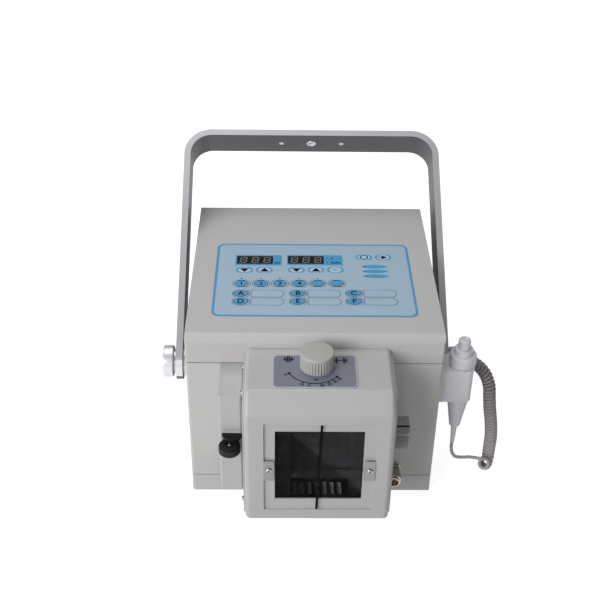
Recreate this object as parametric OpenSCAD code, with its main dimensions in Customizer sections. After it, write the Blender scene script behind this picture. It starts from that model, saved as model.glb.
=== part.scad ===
// Portable x-ray machine: a hand-carried box unit with a light-beam collimator on its
// front, a membrane control panel on top, a U-shaped carrying handle that swings on two
// side pivots, and a hand switch on a curly cord in a holder on the right side.
// X points to the right of somebody who faces the collimator, Y to the rear, Z up.
// The origin is on the floor, under the middle of the housing, where the feet stand.

/* [Housing] */

// Width of the housing across the sides
housing_width = 250; // [225:1:270]
// Depth of the housing, front to rear
housing_depth = 250; // [235:1:280]
// Height of the housing's top over the floor
housing_height = 208; // [200:1:225]
// Height of the rubber feet
foot_height = 6; // [4:0.5:10]
// Diameter of each rubber foot
foot_diameter = 24; // [18:1:30]
// Distance between the feet, both ways
foot_spacing = 190; // [170:1:196]
// Diameter of the screw hole through each foot and the tray
foot_hole = 5.2; // [4.2:0.1:6.4]
// Height of the seam between the base tray and the case
tray_seam = 30; // [26:0.5:34]
// Height of the seam between the case and the top cover
cover_seam = 178; // [172:0.5:182]
// Wall thickness of the tray, the case and the cover
wall = 3; // [2:0.5:4]
// Radius of the upright corners
corner_radius = 3; // [1:0.5:6]
// Radius of the tray's lower edges
tray_radius = 2.5; // [1:0.5:3]
// Radius of the cover's front edge
front_radius = 9; // [4:0.5:12]
// Radius of the cover's rear edge
rear_radius = 4; // [4:0.5:12]
// Depth and height of the shadow line at each seam
seam_gap = 0.8; // [0.4:0.1:1.2]

/* [Control panel] */

// Width of the membrane panel
panel_width = 203; // [180:1:215]
// Depth of the membrane panel, front to rear
panel_depth = 134; // [120:1:150]
// Distance from the housing's front to the panel's near edge
panel_front = 35; // [28:1:60]
// Corner radius of the membrane panel
panel_radius = 8; // [3:0.5:14]
// Thickness of the membrane panel
panel_thickness = 0.8; // [0.5:0.1:1.5]

/* [Collimator] */

// Width of the collimator housing
collimator_width = 139; // [130:1:146]
// Distance from the housing's middle to the collimator's middle
collimator_offset = 3; // [0:0.5:5]
// How far the collimator stands out from the housing
collimator_depth = 80; // [72:1:90]
// Height of the collimator's underside over the floor
collimator_bottom = 46; // [40:1:52]
// Height of the collimator's top over the floor
collimator_top = 196; // [192:1:198]
// Size of the slanted face between its top and its front
collimator_chamfer = 17; // [10:1:22]
// Radius of the collimator's outer edges
collimator_radius = 5; // [2:0.5:6]
// Thickness of the cover plates on the collimator's two sides
side_plate = 1.5; // [1:0.1:2.5]
// Wall thickness of the collimator housing
collimator_wall = 4; // [3:0.5:5]
// Width of the clear window plate
window_width = 104; // [96:1:110]
// Height of the clear window plate
window_height = 108; // [100:1:112]
// Thickness of the clear window plate
window_thickness = 2; // [1.5:0.1:3]
// Width of the beam opening behind the window plate
opening_width = 83; // [70:1:90]
// Height of the beam opening behind the window plate
opening_height = 86; // [70:1:92]
// Diameter of the beam port between the housing and the collimator
port_diameter = 60; // [50:1:66]
// Diameter of the two field knobs
field_knob_diameter = 31; // [26:0.5:34]
// Height of the two field knobs
field_knob_height = 17; // [12:0.5:20]

/* [Side block] */

// Width of the block that stands left of the collimator
block_width = 20; // [16:0.5:22]
// How far that block stands out from the housing
block_depth = 51; // [44:1:58]
// Height of its underside over the floor
block_bottom = 60; // [54:1:70]
// Diameter of the black thumb knob on it
thumb_knob_diameter = 19.5; // [14:0.5:20]
// Diameter of the round connector on the housing's front
connector_diameter = 17; // [12:0.5:18]
// How far that connector stands out
connector_length = 22; // [15:1:28]

/* [Handle] */

// Distance from the housing's front to the handle's pivot
pivot_setback = 75; // [68:1:90]
// Height of the handle's pivot over the floor
pivot_height = 121; // [112:1:130]
// Distance from the pivot to the outside of the grip
handle_length = 266; // [250:1:280]
// How far the handle leans back from upright
handle_lean = 55; // [10:1:90]
// Width of the handle's flat bar
bar_width = 38; // [30:1:40]
// Thickness of the handle's flat bar
bar_thickness = 7; // [5:0.5:8]
// Gap between the housing and the inside of the handle
handle_gap = 10; // [9:0.5:14]
// Outer radius of the handle's two bends
bend_radius = 30; // [22:1:40]
// Diameter of the hole in the middle of the grip
grip_hole = 8.5; // [6:0.5:10]
// Diameter of the two small holes beside it
grip_side_hole = 4; // [3:0.5:5]
// Distance from the middle hole to each small hole
grip_hole_spacing = 34; // [28:1:40]
// Diameter of the clamp knobs at the pivots
clamp_knob_diameter = 34; // [28:1:38]

/* [Hand switch] */

// Diameter of the hand switch's body
switch_diameter = 27; // [24:0.5:28]
// Distance from the housing's front to the switch's middle
switch_setback = 27; // [26:0.5:28]
// Height of the top of the holder over the floor
holder_top = 158; // [150:1:160]
// Height of the holder
holder_height = 39; // [34:1:44]
// Outer diameter of the curly cord
coil_diameter = 12; // [10:0.5:13]
// Diameter of the cord itself
cord_diameter = 3.5; // [3:0.1:4.5]

/* [Hidden] */

half_w = housing_width / 2;
front_y = -housing_depth / 2;
rear_y = housing_depth / 2;
cover_height = housing_height - cover_seam;

col_x = collimator_offset;
col_half = collimator_width / 2;
col_front = front_y - collimator_depth;
col_height = collimator_top - collimator_bottom;
col_left = col_x - col_half;
col_right = col_x + col_half;
window_x = col_x + 1;
window_z = collimator_bottom + 69;
opening_z = window_z + 1.4;
port_z = window_z;
knob_shaft = 5.8;
knob_bore = 6;
top_knob_x = col_x - 2;
top_knob_y = front_y - 0.35 * collimator_depth;
side_knob_y = front_y - 0.5 * collimator_depth;
side_knob_z = collimator_bottom + 79;

connector_x = col_right + side_plate + connector_diameter / 2 + 1;
connector_z = tray_seam + connector_diameter / 2 + 1.5;

block_right = col_left - side_plate - 1;
block_left = block_right - block_width;

pivot_y = front_y + pivot_setback;
pivot_z = pivot_height;
pin_diameter = 10;
pin_clearance = 0.06;
bar_inside = half_w + handle_gap;
bar_outside = bar_inside + bar_thickness;
hub_length = handle_gap - 0.2;

switch_x = half_w + 23.4;
switch_y = front_y + switch_setback;
holder_half = 14.5;
gland_y = front_y + 48;
gland_z = 148;

display_width = 0.187 * panel_width;
display_depth = 0.114 * panel_depth;
blade_left = 0.255 * window_width;
blade_right = 0.29 * window_width;

inlet_x = 0.3 * housing_width;
inlet_z = 62;

cord_r = cord_diameter / 2;
coil_r = coil_diameter / 2;
lead_route = [[148.4, -98, 52], [148.4, -98, 44], [150, -98, 37], [154, -98, 31],
              [161, -98, 28], [170, -99, 27], [178, -102, 28], [184, -107, 31]];
coil_route = [[184, -110, 29], [187, -103, 23], [189, -97, 25], [190, -93, 36],
              [190, -92, 54], [188, -91, 72], [184, -90, 92], [181, -88, 108],
              [179, -86, 122], [174, -82, 135], [168, -79, 143], [160, -77, 148]];
tail_route = [[161, -77, 147.4], [154, -77, 148], [146, -77, 148], [138, -77, 148],
              [127, -77, 148]];

painted = [0.84, 0.83, 0.81];
silver = [0.78, 0.78, 0.8];
dark = [0.1, 0.1, 0.11];
pale_blue = [0.78, 0.87, 0.93];

// A rectangle with round corners, centred on the origin
module round_rect(w, d, r) {
    square([w - 2 * r, d], center = true);
    square([w, d - 2 * r], center = true);
    for (sx = [-1, 1])
        for (sy = [-1, 1])
            translate([sx * (w / 2 - r), sy * (d / 2 - r)])
                circle(r = r, $fn = 48);
}

// Inner angle bisector of corner i of the outline p, as long as the corner needs
function corner_centre(p, i, r) =
    let (n = len(p),
         a = unit(p[(i + n - 1) % n] - p[i]),
         b = unit(p[(i + 1) % n] - p[i]),
         half = acos(a * b) / 2)
    p[i] + unit(a + b) * (r / sin(half));

// Where the round corner i leaves the edge towards corner j
function corner_edge(p, i, j, r) =
    let (n = len(p),
         a = unit(p[(i + n - 1) % n] - p[i]),
         b = unit(p[(i + 1) % n] - p[i]),
         half = acos(a * b) / 2)
    p[i] + unit(p[j] - p[i]) * (r / tan(half));

// A convex outline with a radius at each corner
module round_outline(p, radii) {
    n = len(p);
    polygon([for (i = [0 : n - 1])
                 for (j = [(i + n - 1) % n, (i + 1) % n])
                     corner_edge(p, i, j, radii[i])]);
    for (i = [0 : n - 1])
        if (radii[i] > 0.05)
            translate(corner_centre(p, i, radii[i]))
                circle(r = radii[i], $fn = 48);
}

// A block that stands on height z, with round upright corners
module round_block(w, d, h, r, z) {
    translate([0, 0, z])
        linear_extrude(height = h)
            round_rect(w, d, r);
}

// A bar along X with the given outline in Y and Z
module along_x(length) {
    rotate([90, 0, 90])
        linear_extrude(height = length, center = true)
            children();
}

// A cylinder along X that starts at x
module x_cylinder(x, length, d) {
    translate([x, 0, 0])
        rotate([0, 90, 0])
            cylinder(h = length, d = d, $fn = 64);
}

// Unit vector of v
function unit(v) = v / norm(v);

// Direction of a route at point i
function route_dir(p, i) =
    i == 0 ? unit(p[1] - p[0])
    : i == len(p) - 1 ? unit(p[i] - p[i - 1])
    : unit(unit(p[i] - p[i - 1]) + unit(p[i + 1] - p[i]));

// A side vector carried along the route, so that the tube doesn't twist
function side_at(p, i) =
    i == 0 ? unit(cross(route_dir(p, 0), [0.31, 0.22, 0.92]))
    : let (s = side_at(p, i - 1), t = route_dir(p, i)) unit(s - (s * t) * t);

// A tube with n sides along the route p
module tube(p, r, n) {
    rings = len(p);
    points = [for (i = [0 : rings - 1])
                  let (t = route_dir(p, i), s = side_at(p, i), u = cross(t, s))
                  for (k = [0 : n - 1])
                      p[i] + r * (cos(360 * k / n) * s + sin(360 * k / n) * u)];
    first = [[for (k = [0 : n - 1]) k]];
    last = [[for (k = [n - 1 : -1 : 0]) (rings - 1) * n + k]];
    walls = [for (i = [0 : rings - 2])
                 for (k = [0 : n - 1])
                     [i * n + k, (i + 1) * n + k,
                      (i + 1) * n + (k + 1) % n, i * n + (k + 1) % n]];
    polyhedron(points = points, faces = concat(first, walls, last), convexity = 6);
}

module foot_places() {
    for (sx = [-1, 1])
        for (sy = [-1, 1])
            translate([sx * foot_spacing / 2, sy * foot_spacing / 2, 0])
                children();
}

// The tray's outside below the shadow line, with round lower edges
module tray_body() {
    h = tray_seam - seam_gap;
    intersection() {
        round_block(housing_width, housing_depth, h - foot_height, corner_radius,
                    foot_height);
        along_x(housing_width + 2)
            round_outline([[front_y, foot_height], [rear_y, foot_height], [rear_y, h],
                           [front_y, h]], [tray_radius, tray_radius, 0, 0]);
        rotate([90, 0, 0])
            linear_extrude(height = housing_depth + 2, center = true)
                round_outline([[-half_w, foot_height], [half_w, foot_height], [half_w, h],
                               [-half_w, h]], [tray_radius, tray_radius, 0, 0]);
    }
}

module base_tray() {
    color(painted)
        difference() {
            union() {
                tray_body();
                round_block(housing_width - 2 * seam_gap, housing_depth - 2 * seam_gap,
                            seam_gap, corner_radius - seam_gap, tray_seam - seam_gap);
            }
            round_block(housing_width - 2 * wall, housing_depth - 2 * wall, tray_seam,
                        1, foot_height + wall);
            foot_places()
                translate([0, 0, foot_height - 1])
                    cylinder(h = wall + 2, d = foot_hole, $fn = 32);
        }
}

module lower_case() {
    color(painted)
        difference() {
            union() {
                round_block(housing_width, housing_depth, cover_seam - seam_gap - tray_seam,
                            corner_radius, tray_seam);
                round_block(housing_width - 2 * seam_gap, housing_depth - 2 * seam_gap,
                            seam_gap, corner_radius - seam_gap, cover_seam - seam_gap);
            }
            round_block(housing_width - 2 * wall, housing_depth - 2 * wall,
                        housing_height, 1, tray_seam - 1);
            translate([col_x, front_y + wall + 1, port_z])
                rotate([90, 0, 0])
                    cylinder(h = wall + 2, d = port_diameter, $fn = 64);
        }
}

// Side outline of the cover, grown inward by e
module cover_outline(e) {
    fr = front_radius - e;
    rr = rear_radius - e;
    y0 = front_y + e;
    y1 = rear_y - e;
    z1 = housing_height - e;
    translate([y0, cover_seam - 20])
        square([y1 - y0, z1 - max(fr, rr) - cover_seam + 20]);
    translate([y0 + fr, cover_seam])
        square([y1 - y0 - fr - rr, z1 - cover_seam]);
    translate([y0 + fr, z1 - fr])
        circle(r = fr, $fn = 48);
    translate([y1 - rr, z1 - rr])
        circle(r = rr, $fn = 48);
    translate([y0, cover_seam])
        square([2 * fr, z1 - fr - cover_seam]);
}

module cover_body(e) {
    intersection() {
        along_x(housing_width - 2 * e)
            cover_outline(e);
        round_block(housing_width - 2 * e, housing_depth - 2 * e, cover_height + 40,
                    max(corner_radius - e, 0.5), e > 0 ? cover_seam - 20 : cover_seam);
    }
}

module top_cover() {
    color([0.76, 0.75, 0.73])
        difference() {
            cover_body(0);
            cover_body(wall);
            translate([0.5, front_y + panel_front + panel_depth / 2, 0])
                round_block(panel_width + 0.6, panel_depth + 0.6, 2, panel_radius + 0.3,
                            housing_height - panel_thickness);
        }
}

module control_panel() {
    color(pale_blue)
        difference() {
            translate([0.5, front_y + panel_front + panel_depth / 2, 0])
                round_block(panel_width, panel_depth, panel_thickness, panel_radius,
                            housing_height - panel_thickness);
            display_place(0)
                cube([display_width, display_depth, 4], center = true);
            display_place(1)
                cube([display_width, display_depth, 4], center = true);
        }
}

module display_place(i) {
    translate([(i == 0 ? -0.3 : -0.0357) * panel_width,
               front_y + panel_front + 0.759 * panel_depth,
               housing_height - panel_thickness / 2])
        children();
}

module display_windows() {
    color(dark)
        for (i = [0, 1])
            display_place(i)
                cube([display_width, display_depth, panel_thickness - 0.1],
                     center = true);
}

module rubber_feet() {
    color(dark)
        foot_places()
            difference() {
                cylinder(h = foot_height, d1 = foot_diameter - 2, d2 = foot_diameter,
                         $fn = 48);
                translate([0, 0, -1])
                    cylinder(h = foot_height + 2, d = foot_hole, $fn = 32);
            }
}

module tube_block() {
    block_w = 0.52 * housing_width;
    color(silver)
        translate([col_x - block_w / 2, front_y + wall, foot_height + wall])
            cube([block_w, 0.48 * housing_depth, cover_seam - foot_height - 20]);
}

// Corners of the collimator's side outline, grown inward by e
function collimator_corners(e) =
    let (c = collimator_chamfer, k = e * tan(22.5))
    [[front_y + 20, collimator_bottom + e], [col_front + e, collimator_bottom + e],
     [col_front + e, collimator_top - c - k], [col_front + c + k, collimator_top - e],
     [front_y + 20, collimator_top - e]];

// The collimator's outside, with every outer edge rounded
module collimator_body() {
    r = collimator_radius;
    intersection() {
        hull()
            for (p = collimator_corners(r))
                for (s = [-1, 1])
                    translate([col_x + s * (col_half - r), p[0], p[1]])
                        sphere(r = r, $fn = 32);
        translate([col_x - col_half - 1, col_front - 1, collimator_bottom - 1])
            cube([collimator_width + 2, collimator_depth + 1, col_height + 2]);
    }
}

// The room inside it
module collimator_room() {
    intersection() {
        translate([col_x, 0, 0])
            along_x(collimator_width - 2 * collimator_wall)
                polygon(collimator_corners(collimator_wall));
        translate([col_x - 100, col_front, 0])
            cube([200, collimator_depth - 3, 400]);
    }
}

module collimator_housing() {
    color(painted)
        difference() {
            collimator_body();
            collimator_room();
            translate([window_x - window_width / 2 - 0.3, col_front - 1,
                       window_z - window_height / 2 - 0.3])
                cube([window_width + 0.6, window_thickness + 1, window_height + 0.6]);
            translate([col_x - opening_width / 2 + 0.6, col_front - 1,
                       opening_z - opening_height / 2])
                cube([opening_width, 10, opening_height]);
            for (i = [-3 : 3])
                translate([col_x + 1 + 7.35 * i, front_y - 0.5 * collimator_depth,
                           collimator_bottom])
                    cube([3.6, 16, 20], center = true);
            translate([col_x, front_y + 1, port_z])
                rotate([90, 0, 0])
                    cylinder(h = 6, d = port_diameter, $fn = 64);
            translate([top_knob_x, top_knob_y, collimator_top - 10])
                cylinder(h = 20, d = knob_bore, $fn = 32);
            translate([col_right - 8, side_knob_y, side_knob_z])
                rotate([0, 90, 0])
                    cylinder(h = 20, d = knob_bore, $fn = 32);
        }
}

module collimator_side_plates() {
    color(painted)
        for (s = [-1, 1])
            translate([col_x + s * (col_half + side_plate / 2), 0, 0])
                difference() {
                    along_x(side_plate)
                        round_outline([[front_y, collimator_bottom + 3],
                                       [col_front + 7, collimator_bottom + 3],
                                       [col_front + 7, collimator_top - collimator_chamfer - 3],
                                       [col_front + collimator_chamfer + 4, collimator_top - 6],
                                       [front_y, collimator_top - 6]], [0, 3, 4, 4, 0]);
                    if (s > 0)
                        translate([-side_plate, side_knob_y, side_knob_z])
                            rotate([0, 90, 0])
                                cylinder(h = 10, d = knob_bore, $fn = 32);
                }
}

module window_plate() {
    color([0.8, 0.9, 0.95, 0.35])
        translate([window_x - window_width / 2, col_front, window_z - window_height / 2])
            cube([window_width, window_thickness, window_height]);
}

module window_clips() {
    color(silver)
        for (sx = [-1, 1])
            translate([window_x + sx * (window_width / 2 - 4.5) - 5, col_front - 1,
                       window_z - 12.5])
                cube([10, 1, 20]);
}

module shutter_blades() {
    inner = col_half - collimator_wall;
    color(dark)
        for (s = [-1, 1])
            translate([s > 0 ? col_x + blade_right : col_x - inner, col_front + 9,
                       window_z - window_height / 2 + 1])
                cube([inner - (s > 0 ? blade_right : blade_left), 1.5,
                      0.94 * window_height]);
}

module light_mirror() {
    color([0.6, 0.62, 0.65])
        translate([col_x, front_y - 0.49 * collimator_depth, window_z + 0.055 * window_height])
            rotate([-42, 0, 0])
                cube([collimator_width - 2 * collimator_wall, 2, 0.55 * col_height],
                     center = true);
}

module dial_plate() {
    color([0.41, 0.42, 0.48])
        difference() {
            translate([col_x - 4.2, front_y - 0.45 * collimator_depth, 0])
                round_block(78, 48, 0.8, 5, collimator_top);
            translate([top_knob_x, top_knob_y, collimator_top - 10])
                cylinder(h = 20, d = knob_bore, $fn = 32);
        }
}

// A ribbed round knob that stands on the origin along +Z, with its shaft below
module field_knob(shaft) {
    r = field_knob_diameter / 2;
    h = field_knob_height;
    cylinder(h = h - 2, r1 = r + 0.1, r2 = r - 0.8, $fn = 64);
    rotate_extrude($fn = 96)
        union() {
            translate([0, h - 3.6])
                square([r, 2]);
            translate([0, h - 3])
                square([r - 1.6, 3]);
            translate([r - 1.6, h - 1.6])
                circle(r = 1.6, $fn = 32);
        }
    for (a = [0 : 12 : 348])
        rotate([0, 0, a])
            translate([r - 0.6, 0, 0])
                cylinder(h = h - 3, r1 = 1.4, r2 = 1.1, $fn = 16);
    translate([0, 0, -shaft])
        cylinder(h = shaft + 1, d = knob_shaft, $fn = 32);
}

module field_knob_top() {
    color([0.88, 0.88, 0.86])
        translate([top_knob_x, top_knob_y, collimator_top + 0.8])
            field_knob(4.5);
}

module field_knob_side() {
    color([0.88, 0.88, 0.86])
        translate([col_right + side_plate, side_knob_y, side_knob_z])
            rotate([0, 90, 0])
                field_knob(5);
}

module side_block() {
    color(painted)
        difference() {
            translate([(block_left + block_right) / 2, front_y - block_depth / 2 + 5, 0])
                round_block(block_width, block_depth + 10, cover_seam - block_bottom, 2.5,
                            block_bottom);
            translate([block_left - 5, front_y, 0])
                cube([block_width + 10, 50, 300]);
        }
}

module thumb_lever() {
    r = thumb_knob_diameter / 2;
    color(dark)
        translate([block_left + r, front_y - block_depth, block_bottom + 68.4]) {
            difference() {
                cylinder(h = 5, r = r - 0.5, $fn = 48);
                translate([-20, 0, -1])
                    cube([40, 20, 8]);
            }
            translate([-2, -2, 1])
                cube([block_width - r + 2, 2, 3]);
        }
}

module thumb_knob() {
    r = thumb_knob_diameter / 2;
    color(dark)
        translate([block_left + r - 1.6, front_y - block_depth - r - 0.4,
                   block_bottom + 63.1]) {
            cylinder(h = 5, r = r, $fn = 48);
            translate([0, 0, 4])
                cylinder(h = 1.3, r = r - 2, $fn = 48);
        }
}

module front_connector() {
    d = connector_diameter;
    n = connector_length;
    color(silver)
        translate([connector_x, front_y, connector_z])
            rotate([90, 0, 0])
                difference() {
                    union() {
                        cylinder(h = 2, d = d, $fn = 64);
                        cylinder(h = n, d = d - 4, $fn = 64);
                        translate([0, 0, 3])
                            cylinder(h = 4, d = d - 1, $fn = 64);
                        translate([0, 0, 8.5])
                            cylinder(h = n - 11.5, d = d - 1, $fn = 64);
                    }
                    translate([0, 0, n - 6])
                        cylinder(h = 8, d = d - 7, $fn = 48);
                }
}

module pivot_hubs() {
    color(silver)
        for (s = [0, 1])
            mirror([s, 0, 0])
                translate([0, pivot_y, pivot_z]) {
                    x_cylinder(half_w, hub_length, 30);
                    x_cylinder(half_w, handle_gap + bar_thickness + 9, pin_diameter);
                }
}

// Outline of the U in its own plane, open at the bottom
module u_outline() {
    difference() {
        union() {
            translate([-bar_outside, 0])
                square([2 * bar_outside, handle_length - bend_radius]);
            translate([-bar_outside + bend_radius, 0])
                square([2 * (bar_outside - bend_radius), handle_length]);
            for (sx = [-1, 1])
                translate([sx * (bar_outside - bend_radius), handle_length - bend_radius])
                    circle(r = bend_radius, $fn = 96);
        }
        translate([-bar_inside, -1])
            square([2 * bar_inside, handle_length - bend_radius + 1]);
        translate([-bar_outside + bend_radius, -1])
            square([2 * (bar_outside - bend_radius), handle_length - bar_thickness + 1]);
        for (sx = [-1, 1])
            translate([sx * (bar_outside - bend_radius), handle_length - bend_radius])
                circle(r = bend_radius - bar_thickness, $fn = 96);
    }
}

module handle_bar() {
    color(silver)
        translate([0, pivot_y, pivot_z])
            rotate([-handle_lean, 0, 0])
                difference() {
                    union() {
                        translate([0, bar_width / 2, 0])
                            rotate([90, 0, 0])
                                linear_extrude(height = bar_width)
                                    u_outline();
                        for (s = [0, 1])
                            mirror([s, 0, 0])
                                x_cylinder(bar_inside, bar_thickness, bar_width);
                    }
                    for (s = [0, 1])
                        mirror([s, 0, 0])
                            x_cylinder(bar_inside - 1, bar_thickness + 2,
                                       pin_diameter + 2 * pin_clearance);
                    translate([0, 0, handle_length - bar_thickness - 1])
                        cylinder(h = bar_thickness + 2, d = grip_hole, $fn = 48);
                    for (sx = [-1, 1])
                        translate([sx * grip_hole_spacing, 0,
                                   handle_length - bar_thickness - 1])
                            cylinder(h = bar_thickness + 2, d = grip_side_hole, $fn = 32);
                }
}

// A clamp knob along X that starts outside the right arm of the handle
module clamp_knob() {
    x0 = bar_outside + 0.2;
    r = clamp_knob_diameter / 2;
    translate([0, pivot_y, pivot_z])
        rotate([0, 90, 0])
            rotate_extrude($fn = 96)
                difference() {
                    union() {
                        translate([0, x0])
                            square([10, 4]);
                        translate([0, x0 + 3])
                            square([r - 2, 11]);
                        translate([0, x0 + 5])
                            square([r, 7]);
                        for (z = [5, 12])
                            translate([r - 2, x0 + z])
                                circle(r = 2, $fn = 32);
                    }
                    square([pin_diameter / 2 + 0.2, bar_outside + 10]);
                }
}

module clamp_knob_left() {
    color(silver)
        mirror([1, 0, 0])
            clamp_knob();
}

module clamp_knob_right() {
    color(silver)
        clamp_knob();
}

module switch_holder() {
    color([0.85, 0.84, 0.86])
        difference() {
            union() {
                translate([half_w, switch_y - holder_half, holder_top - holder_height])
                    cube([26, 2 * holder_half, holder_height]);
                translate([half_w + 20, switch_y, 0])
                    round_block(28, 2 * holder_half, holder_height, 6,
                                holder_top - holder_height);
                translate([half_w + 20, switch_y, 0])
                    round_block(29.6, 2 * holder_half + 1.6, 2, 6.8, holder_top - 2);
            }
            translate([half_w - 4, switch_y - 30, holder_top - 60])
                cube([4, 60, 80]);
            translate([switch_x, switch_y, holder_top - holder_height - 1])
                cylinder(h = holder_height + 2, d = 22.4, $fn = 64);
        }
}

module switch_body() {
    r = switch_diameter / 2;
    z0 = holder_top + 0.3;
    color([0.87, 0.86, 0.88])
        translate([switch_x, switch_y, 0])
            rotate_extrude($fn = 96)
                union() {
                    polygon([[0, 76], [4.2, 76], [5.6, 77.4], [10.8, 112], [11, 116],
                             [11, z0 + 1], [0, z0 + 1]]);
                    translate([0, z0])
                        square([r, 6.2]);
                    translate([0, z0])
                        square([r - 2, 8.2]);
                    translate([r - 2, z0 + 6.2])
                        circle(r = 2, $fn = 32);
                }
}

module switch_collar() {
    color([0.87, 0.86, 0.88])
        translate([switch_x, switch_y, holder_top + 8.5])
            rotate_extrude($fn = 96)
                union() {
                    square([9.35, 6.5]);
                    square([7.85, 8]);
                    translate([7.85, 6.5])
                        circle(r = 1.5, $fn = 32);
                }
}

module exposure_button() {
    color([0.9, 0.9, 0.92])
        translate([switch_x, switch_y, holder_top + 16.5])
            rotate_extrude($fn = 96)
                union() {
                    square([5.3, 8]);
                    translate([0, 7])
                        square([6.2, 4.7]);
                    translate([0, 7])
                        square([5.2, 5.7]);
                    translate([5.2, 11.7])
                        circle(r = 1, $fn = 32);
                }
}

module strain_relief() {
    color([0.8, 0.8, 0.82])
        translate([switch_x, switch_y, 52])
            cylinder(h = 24, d1 = cord_diameter + 0.6, d2 = 6.4, $fn = 32);
}

module cord_lead() {
    color([0.8, 0.8, 0.82])
        tube(lead_route, cord_r, 8);
}

module cord_coil() {
    color([0.75, 0.75, 0.77])
        tube(coil_route, coil_r, 12);
}

module cord_tail() {
    color([0.75, 0.75, 0.77])
        tube(tail_route, cord_r, 8);
}

module cord_gland() {
    color([0.75, 0.75, 0.77])
        translate([half_w, gland_y, gland_z])
            rotate([0, 90, 0])
                difference() {
                    cylinder(h = 5, d = 9, $fn = 32);
                    translate([0, 0, 1])
                        cylinder(h = 6, d = cord_diameter + 0.4, $fn = 32);
                }
}

module mains_inlet() {
    color(dark)
        translate([inlet_x, rear_y, inlet_z])
            rotate([-90, 0, 0])
                difference() {
                    union() {
                        linear_extrude(height = 2.5)
                            round_rect(50, 28, 3);
                        linear_extrude(height = 6)
                            round_rect(30, 22, 3);
                    }
                    translate([0, 0, 0.8])
                        linear_extrude(height = 10)
                            round_rect(24, 16, 2);
                    for (sx = [-1, 1])
                        translate([20 * sx, 0, -1])
                            cylinder(h = 6, d = 3.4, $fn = 32);
                }
    color(dark)
        for (x = [-7, 0, 7])
            translate([inlet_x + x - 1, rear_y + 0.3, inlet_z + (x == 0 ? 0.5 : -4.5)])
                cube([2, 4.7, 4]);
}

module mains_switch() {
    color(dark)
        translate([inlet_x, rear_y, inlet_z + 34])
            rotate([-90, 0, 0]) {
                linear_extrude(height = 1.8)
                    round_rect(27, 19, 2);
                linear_extrude(height = 4)
                    round_rect(20, 12.5, 1.5);
            }
}

module fuse_holders() {
    color(dark)
        for (sx = [-1, 1])
            translate([inlet_x + 12 * sx, rear_y, inlet_z + 60])
                rotate([-90, 0, 0]) {
                    cylinder(h = 3, d = 17, $fn = 48);
                    cylinder(h = 9, d = 13, $fn = 48);
                }
}

base_tray();
lower_case();
top_cover();
control_panel();
display_windows();
rubber_feet();
tube_block();
collimator_housing();
collimator_side_plates();
window_plate();
window_clips();
shutter_blades();
light_mirror();
dial_plate();
field_knob_top();
field_knob_side();
side_block();
thumb_lever();
thumb_knob();
front_connector();
pivot_hubs();
handle_bar();
clamp_knob_left();
clamp_knob_right();
switch_holder();
switch_body();
switch_collar();
exposure_button();
strain_relief();
cord_lead();
cord_coil();
cord_tail();
cord_gland();
mains_inlet();
mains_switch();
fuse_holders();
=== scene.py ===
"""Looks of the portable x-ray machine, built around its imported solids.

Lengths of the new pieces are written in millimetres and turned to metres when a piece is finished.
"""

from math import atan2, copysign, cos, hypot, pi, radians, sin, tau

import bmesh
import bpy
from bpy.types import Node, Operator, Panel, PropertyGroup
from mathutils import Matrix, Vector, noise


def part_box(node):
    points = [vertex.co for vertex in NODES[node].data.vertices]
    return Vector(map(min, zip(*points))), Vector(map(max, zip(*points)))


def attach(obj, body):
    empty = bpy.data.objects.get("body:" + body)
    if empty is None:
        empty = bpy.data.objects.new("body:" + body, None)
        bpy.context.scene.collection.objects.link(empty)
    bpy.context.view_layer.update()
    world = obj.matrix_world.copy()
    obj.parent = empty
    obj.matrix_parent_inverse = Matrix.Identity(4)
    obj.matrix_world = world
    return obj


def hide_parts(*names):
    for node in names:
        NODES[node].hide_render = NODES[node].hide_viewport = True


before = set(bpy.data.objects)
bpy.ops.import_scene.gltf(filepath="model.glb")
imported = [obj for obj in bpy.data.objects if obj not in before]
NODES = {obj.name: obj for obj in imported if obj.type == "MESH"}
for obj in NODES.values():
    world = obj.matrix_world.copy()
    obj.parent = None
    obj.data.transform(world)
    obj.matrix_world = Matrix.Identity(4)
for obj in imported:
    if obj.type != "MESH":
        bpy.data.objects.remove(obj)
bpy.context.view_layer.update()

bl_info = {"name": "Portable X-ray Machine Looks", "version": (1, 0, 0), "blender": (4, 5, 0),
    "location": "View3D > Sidebar > X-ray",
    "description": "Paint, panel, dial, knobs, handle and cord of a portable x-ray machine",
    "category": "Object"}

MM = 0.001


def node_box(name):
    """Lowest and highest corner of a CAD node, in millimetres."""
    lo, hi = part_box(name)
    return lo / MM, hi / MM


def plan(lo, hi):
    """Middle and size of a box, seen from above."""
    return (lo.x + hi.x) / 2, (lo.y + hi.y) / 2, hi.x - lo.x, hi.y - lo.y


PANEL_LO, PANEL_HI = node_box("control_panel")
DIAL_LO, DIAL_HI = node_box("dial_plate")
PLATE_LO, PLATE_HI = node_box("window_plate")
WALL, CHAMFER = 4, 17
SHARP_EDGE = radians(32)


def colour(code):
    """A linear colour from an sRGB hex code."""
    parts = [int(code[i:i + 2], 16) / 255 for i in (1, 3, 5)]
    return [c / 12.92 if c <= 0.04045 else ((c + 0.055) / 1.055) ** 2.4 for c in parts]


# ---- settings


def shade(name, code, description):
    return bpy.props.FloatVectorProperty(name=name, description=description, subtype="COLOR",
        size=3, min=0, max=1, default=colour(code))


def number(name, value, description, **settings):
    return bpy.props.FloatProperty(name=name, description=description, default=value, min=0,
        **settings)


def length(name, mm, description):
    return number(name, mm * MM, description, unit="LENGTH", precision=5)


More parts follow.
